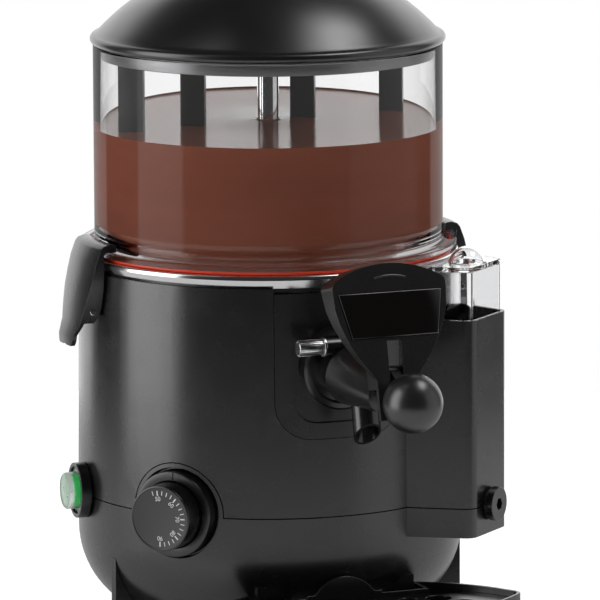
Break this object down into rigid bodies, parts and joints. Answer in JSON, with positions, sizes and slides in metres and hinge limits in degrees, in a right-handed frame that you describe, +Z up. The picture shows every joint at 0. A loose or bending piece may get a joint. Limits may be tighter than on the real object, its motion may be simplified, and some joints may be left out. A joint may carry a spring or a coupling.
{
  "type": "hot chocolate dispenser",
  "caption": "Countertop hot chocolate dispenser with a clear stirred bowl, domed lid, lever tap, side water tower and drip tray.",
  "frame": {"origin": "centre of the whole machine's box at the height its feet stand on", "axes": "+Z up, -Y towards the tap and drip tray, +X to the right of a person facing the tap"},
  "size_m": [0.2832, 0.3953, 0.465],
  "materials": {
    "black_plastic": "satin moulded, fine grain",
    "gloss_black": "gloss moulded",
    "label_black": "gloss, bare",
    "rubber_black": "matt",
    "clear_plastic": "clear polycarbonate",
    "seal_orange": "silicone",
    "steel": "brushed",
    "bright_steel": "polished",
    "band_grey": "satin",
    "chocolate": "liquid drink",
    "copper": "drawn",
    "zinc": "zinc plated",
    "white_plastic": "moulded",
    "green_button": "lit green",
    "motor_grey": "painted casting"
  },
  "bodies": {
    "root": {"base_housing": "black_plastic", "body_housing": "black_plastic", "bottom_plate": "black_plastic", "legs": "black_plastic", "foot_pads": "rubber_black", "tray_bracket": "black_plastic", "tap_panel": "black_plastic", "rear_vent_panel": "black_plastic", "rim_ring": "steel", "bowl_seal": "seal_orange", "bowl": "clear_plastic", "product_pan": "steel", "water_bath_tank": "steel", "heating_element": "zinc", "chassis_plate": "zinc", "standoffs": "zinc", "link_pipe": "steel", "gear_motor": "motor_grey", "centre_tube": "bright_steel", "thermostat": "white_plastic", "thermostat_bulb": "copper", "dial_bezel": "gloss_black", "switch_bezel": "gloss_black", "switch_cap": "clear_plastic", "latch_bracket_left": "black_plastic", "latch_bracket_right": "black_plastic", "latch_pin_left": "bright_steel", "latch_pin_right": "bright_steel", "tap_body": "black_plastic", "stem_gland": "gloss_black", "lever_pin": "bright_steel", "tap_shield": "black_plastic", "label_plate": "label_black", "water_tank": "clear_plastic", "drain_outlet": "zinc", "cord_gland": "rubber_black", "base_screws": "zinc"},
    "stirrer": {"drive_shaft": "steel", "stirrer_hub": "black_plastic", "stirrer_paddle": "black_plastic", "hot_chocolate": "chocolate"},
    "lid_body": {"lid": "black_plastic", "lid_band": "band_grey", "lid_knob": "black_plastic"},
    "dial": {"dial_knob": "gloss_black"},
    "power_switch": {"power_button": "green_button"},
    "left_latch": {"latch_left": "black_plastic"},
    "right_latch": {"latch_right": "black_plastic"},
    "tap_lever_body": {"tap_lever": "black_plastic", "ball_knob": "gloss_black"},
    "tap_valve": {"tap_plunger": "white_plastic", "plunger_seal": "seal_orange", "tap_spring": "bright_steel"},
    "flow_regulator": {"flow_screw": "bright_steel"},
    "tray": {"drip_tray": "gloss_black"},
    "tray_grid": {"drip_grid": "gloss_black"},
    "tank_lid_body": {"water_tank_lid": "clear_plastic"},
    "drain_plug": {"drain_cap": "gloss_black", "drain_seal": "rubber_black"}
  },
  "joints": [
    {"name": "lid_lift", "type": "slide", "parent": "root", "child": "lid_body", "axis": [0, 0, 1], "range_m": [0, 0.12]},
    {"name": "stirrer_spin", "type": "hinge", "parent": "root", "child": "stirrer", "pos_m": [0, 0.0607, 0.2], "axis": [0, 0, 1], "continuous": true},
    {"name": "dial_turn", "type": "hinge", "parent": "root", "child": "dial", "pos_m": [-0.10787, -0.02854, 0.1023], "axis": [-0.7705, -0.6374, 0], "range_deg": [-270, 0]},
    {"name": "power_press", "type": "slide", "parent": "root", "child": "power_switch", "axis": [0.9962, -0.0872, 0], "range_m": [0, 0.002], "stiffness_N_per_m": 400, "springref_m": -0.002},
    {"name": "left_latch_open", "type": "hinge", "parent": "root", "child": "left_latch", "pos_m": [-0.129, 0.0607, 0.2246], "axis": [0, -1, 0], "range_deg": [0, 30]},
    {"name": "right_latch_open", "type": "hinge", "parent": "root", "child": "right_latch", "pos_m": [0.129, 0.0607, 0.2246], "axis": [0, 1, 0], "range_deg": [0, 30]},
    {"name": "lever_lift", "type": "hinge", "parent": "root", "child": "tap_lever_body", "pos_m": [0, -0.14556, 0.20716], "axis": [-1, 0, 0], "range_deg": [0, 24], "stiffness_Nm_per_rad": 0.2, "springref_deg": -22.92},
    {"name": "valve_slide", "type": "slide", "parent": "root", "child": "tap_valve", "axis": [0, -0.9954, -0.0958], "range_m": [-0.0001, 0.00743], "deforming": ["tap_spring"]},
    {"name": "flow_screw_turn", "type": "hinge", "parent": "root", "child": "flow_regulator", "pos_m": [0, -0.0791, 0.21396], "axis": [-1, 0, 0], "range_deg": [-180, 180]},
    {"name": "tray_pull_out", "type": "slide", "parent": "root", "child": "tray", "axis": [0, -1, 0], "range_m": [0, 0.1]},
    {"name": "grid_lift", "type": "slide", "parent": "tray", "child": "tray_grid", "axis": [0, 0, 1], "range_m": [0, 0.03]},
    {"name": "tank_lid_lift", "type": "slide", "parent": "root", "child": "tank_lid_body", "axis": [0, 0, 1], "range_m": [0, 0.06]},
    {"name": "drain_cap_turn", "type": "hinge", "parent": "root", "child": "drain_plug", "pos_m": [0.10606, -0.0657, 0.101], "axis": [0.6428, -0.766, 0], "range_deg": [0, 180]}
  ],
  "couplings": [
    {"joint": "valve_slide", "follows": "lever_lift", "m_per_rad": 0.017253}
  ]
}
